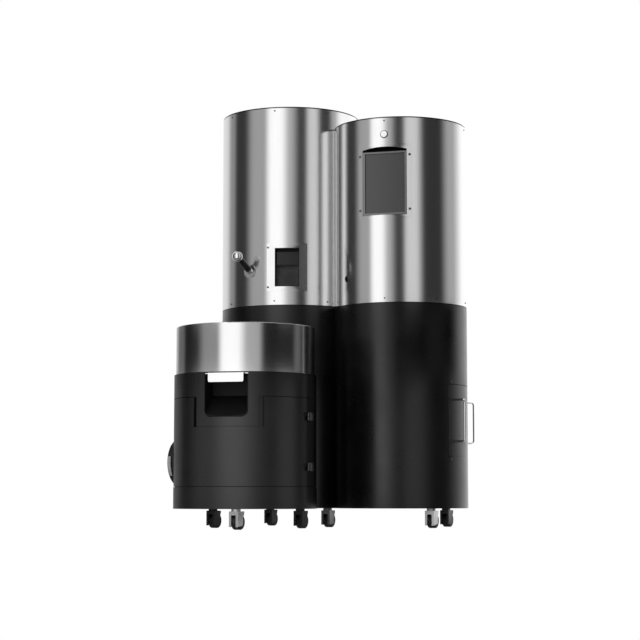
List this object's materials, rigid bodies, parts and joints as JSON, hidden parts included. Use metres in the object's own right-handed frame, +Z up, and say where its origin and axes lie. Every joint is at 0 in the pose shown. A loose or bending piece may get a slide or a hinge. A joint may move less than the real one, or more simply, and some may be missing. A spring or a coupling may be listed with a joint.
{
  "type": "coffee roaster",
  "caption": "Floor-standing coffee roaster on casters with a roasting tower, a control tower with a display, and a bean cooler with a discharge chute.",
  "frame": {"origin": "centre of the bounding box on the floor, under the casters", "axes": "+X to the machine's right as seen from the front, +Y to the back, +Z up"},
  "size_m": [1.0652, 1.0938, 1.643],
  "materials": {
    "brushed_steel": "brushed up and down",
    "black_paint": "satin",
    "polished_chrome": "polished",
    "dark_glass": "smoked and polished",
    "screen_face": "gloss",
    "galvanised_sheet": "satin",
    "cast_steel": "matt",
    "machined_aluminium": "satin",
    "motor_paint": "satin",
    "caster_steel": "zinc plated",
    "wheel_rubber": "matt"
  },
  "bodies": {
    "chassis": {"tower_base": "black_paint", "cooler_base": "black_paint", "roast_lower_shell": "black_paint", "roast_upper_shell": "brushed_steel", "roast_top_cover": "brushed_steel", "control_lower_shell": "black_paint", "control_upper_shell": "brushed_steel", "control_top_cover": "brushed_steel", "link_bracket": "black_paint", "casing_screws": "polished_chrome", "window_frame": "brushed_steel", "sight_glass": "dark_glass", "trier_collar": "brushed_steel", "display_frame": "brushed_steel", "display_screen": "screen_face", "button_rings": "polished_chrome", "roast_frame": "black_paint", "roast_blower": "galvanised_sheet", "heater_box": "galvanised_sheet", "drum_housing": "galvanised_sheet", "drum_front_plate": "cast_steel", "drum_gearmotor": "motor_paint", "bean_hopper": "galvanised_sheet", "chaff_cyclone": "galvanised_sheet", "cooler_rear_shell": "black_paint", "cooler_collar": "black_paint", "cooler_ring": "brushed_steel", "cooling_tray": "brushed_steel", "cooling_chute": "brushed_steel", "stirrer_motor": "motor_paint", "cooling_fan": "galvanised_sheet", "exhaust_collar": "black_paint"},
    "discharge_door": {"discharge_door": "polished_chrome"},
    "trier_sleeve": {"trier_sleeve": "brushed_steel"},
    "trier_spoon": {"trier_spoon": "black_paint"},
    "power_button": {"power_button": "polished_chrome"},
    "side_button": {"side_button": "polished_chrome"},
    "roasting_drum": {"roasting_drum": "cast_steel"},
    "roast_blower_wheel": {"roast_blower_wheel": "machined_aluminium"},
    "hopper_lid": {"hopper_lid": "brushed_steel"},
    "chaff_bin": {"chaff_bin": "black_paint", "bin_handles": "polished_chrome"},
    "cooler_door": {"cooler_door": "black_paint"},
    "cooling_gate": {"cooling_gate": "brushed_steel"},
    "stirrer": {"stirrer": "brushed_steel"},
    "cooling_fan_wheel": {"cooling_fan_wheel": "machined_aluminium"},
    "caster_fork_1": {"caster_fork_1": "caster_steel"},
    "caster_wheel_1": {"caster_wheel_1": "wheel_rubber"},
    "caster_fork_2": {"caster_fork_2": "caster_steel"},
    "caster_wheel_2": {"caster_wheel_2": "wheel_rubber"},
    "caster_fork_3": {"caster_fork_3": "caster_steel"},
    "caster_wheel_3": {"caster_wheel_3": "wheel_rubber"},
    "caster_fork_4": {"caster_fork_4": "caster_steel"},
    "caster_wheel_4": {"caster_wheel_4": "wheel_rubber"},
    "caster_fork_5": {"caster_fork_5": "caster_steel"},
    "caster_wheel_5": {"caster_wheel_5": "wheel_rubber"},
    "caster_fork_6": {"caster_fork_6": "caster_steel"},
    "caster_wheel_6": {"caster_wheel_6": "wheel_rubber"},
    "caster_fork_7": {"caster_fork_7": "caster_steel"},
    "caster_wheel_7": {"caster_wheel_7": "wheel_rubber"}
  },
  "joints": [
    {"name": "discharge_swing", "type": "hinge", "parent": "chassis", "child": "discharge_door", "pos_m": [-0.16584, 0.04116, 1.0137], "axis": [-0.9789, -0.2045, 0], "range_deg": [0, 70]},
    {"name": "trier_turn", "type": "hinge", "parent": "chassis", "child": "trier_sleeve", "pos_m": [-0.31021, 0.01361, 0.997], "axis": [-0.3002, -0.8029, 0.515], "continuous": true},
    {"name": "trier_pull", "type": "slide", "parent": "trier_sleeve", "child": "trier_spoon", "axis": [-0.3002, -0.8029, 0.515], "range_m": [0, 0.15]},
    {"name": "power_press", "type": "slide", "parent": "chassis", "child": "power_button", "axis": [0.0349, 0.9994, 0], "range_m": [0, 0.0025], "stiffness_N_per_m": 800},
    {"name": "side_press", "type": "slide", "parent": "chassis", "child": "side_button", "axis": [0.6508, 0.7593, 0], "range_m": [0, 0.0025], "stiffness_N_per_m": 800},
    {"name": "drum_spin", "type": "hinge", "parent": "chassis", "child": "roasting_drum", "pos_m": [-0.2139, 0.27119, 1.06], "axis": [0, -1, 0], "continuous": true},
    {"name": "roast_blower_spin", "type": "hinge", "parent": "chassis", "child": "roast_blower_wheel", "pos_m": [-0.3239, 0.27119, 0.264], "axis": [0, -1, 0], "continuous": true},
    {"name": "hopper_lid_swing", "type": "hinge", "parent": "chassis", "child": "hopper_lid", "pos_m": [-0.2139, 0.24819, 1.6251], "axis": [-1, 0, 0], "range_deg": [0, 100]},
    {"name": "bin_slide", "type": "slide", "parent": "chassis", "child": "chaff_bin", "axis": [0.9995, 0.0314, 0], "range_m": [0, 0.24]},
    {"name": "door_swing", "type": "hinge", "parent": "chassis", "child": "cooler_door", "pos_m": [0.02114, -0.35115, 0.226], "axis": [0, 0, 1], "range_deg": [0, 110]},
    {"name": "gate_slide", "type": "slide", "parent": "chassis", "child": "cooling_gate", "axis": [0.0087, -1, 0], "range_m": [0, 0.08]},
    {"name": "stirrer_spin", "type": "hinge", "parent": "chassis", "child": "stirrer", "pos_m": [-0.23995, -0.28119, 0.565], "axis": [0, 0, 1], "continuous": true},
    {"name": "cooling_fan_spin", "type": "hinge", "parent": "chassis", "child": "cooling_fan_wheel", "pos_m": [-0.21896, -0.17321, 0.246], "axis": [0, 0, 1], "continuous": true},
    {"name": "caster_swivel_1", "type": "hinge", "parent": "chassis", "child": "caster_fork_1", "pos_m": [-0.02783, 0.136, 0.07], "axis": [0, 0, 1], "continuous": true},
    {"name": "wheel_spin_1", "type": "hinge", "parent": "caster_fork_1", "child": "caster_wheel_1", "pos_m": [-0.02468, 0.14964, 0.028], "axis": [0.9744, -0.225, 0], "continuous": true},
    {"name": "caster_swivel_2", "type": "hinge", "parent": "chassis", "child": "caster_fork_2", "pos_m": [-0.34909, 0.45727, 0.07], "axis": [0, 0, 1], "continuous": true},
    {"name": "wheel_spin_2", "type": "hinge", "parent": "caster_fork_2", "child": "caster_wheel_2", "pos_m": [-0.34594, 0.47091, 0.028], "axis": [0.9744, -0.225, 0], "continuous": true},
    {"name": "caster_swivel_3", "type": "hinge", "parent": "chassis", "child": "caster_fork_3", "pos_m": [0.40189, 0.02675, 0.07], "axis": [0, 0, 1], "continuous": true},
    {"name": "wheel_spin_3", "type": "hinge", "parent": "caster_fork_3", "child": "caster_wheel_3", "pos_m": [0.40504, 0.04039, 0.028], "axis": [0.9744, -0.225, 0], "continuous": true},
    {"name": "caster_swivel_4", "type": "hinge", "parent": "chassis", "child": "caster_fork_4", "pos_m": [0.4046, 0.3372, 0.07], "axis": [0, 0, 1], "continuous": true},
    {"name": "wheel_spin_4", "type": "hinge", "parent": "caster_fork_4", "child": "caster_wheel_4", "pos_m": [0.40775, 0.35084, 0.028], "axis": [0.9744, -0.225, 0], "continuous": true},
    {"name": "caster_swivel_5", "type": "hinge", "parent": "chassis", "child": "caster_fork_5", "pos_m": [-0.20947, -0.49806, 0.07], "axis": [0, 0, 1], "continuous": true},
    {"name": "wheel_spin_5", "type": "hinge", "parent": "caster_fork_5", "child": "caster_wheel_5", "pos_m": [-0.20632, -0.48442, 0.028], "axis": [0.9744, -0.225, 0], "continuous": true},
    {"name": "caster_swivel_6", "type": "hinge", "parent": "chassis", "child": "caster_fork_6", "pos_m": [-0.06277, -0.15247, 0.07], "axis": [0, 0, 1], "continuous": true},
    {"name": "wheel_spin_6", "type": "hinge", "parent": "caster_fork_6", "child": "caster_wheel_6", "pos_m": [-0.05962, -0.13883, 0.028], "axis": [0.9744, -0.225, 0], "continuous": true},
    {"name": "caster_swivel_7", "type": "hinge", "parent": "chassis", "child": "caster_fork_7", "pos_m": [-0.40771, -0.14042, 0.07], "axis": [0, 0, 1], "continuous": true},
    {"name": "wheel_spin_7", "type": "hinge", "parent": "caster_fork_7", "child": "caster_wheel_7", "pos_m": [-0.40456, -0.12678, 0.028], "axis": [0.9744, -0.225, 0], "continuous": true}
  ]
}
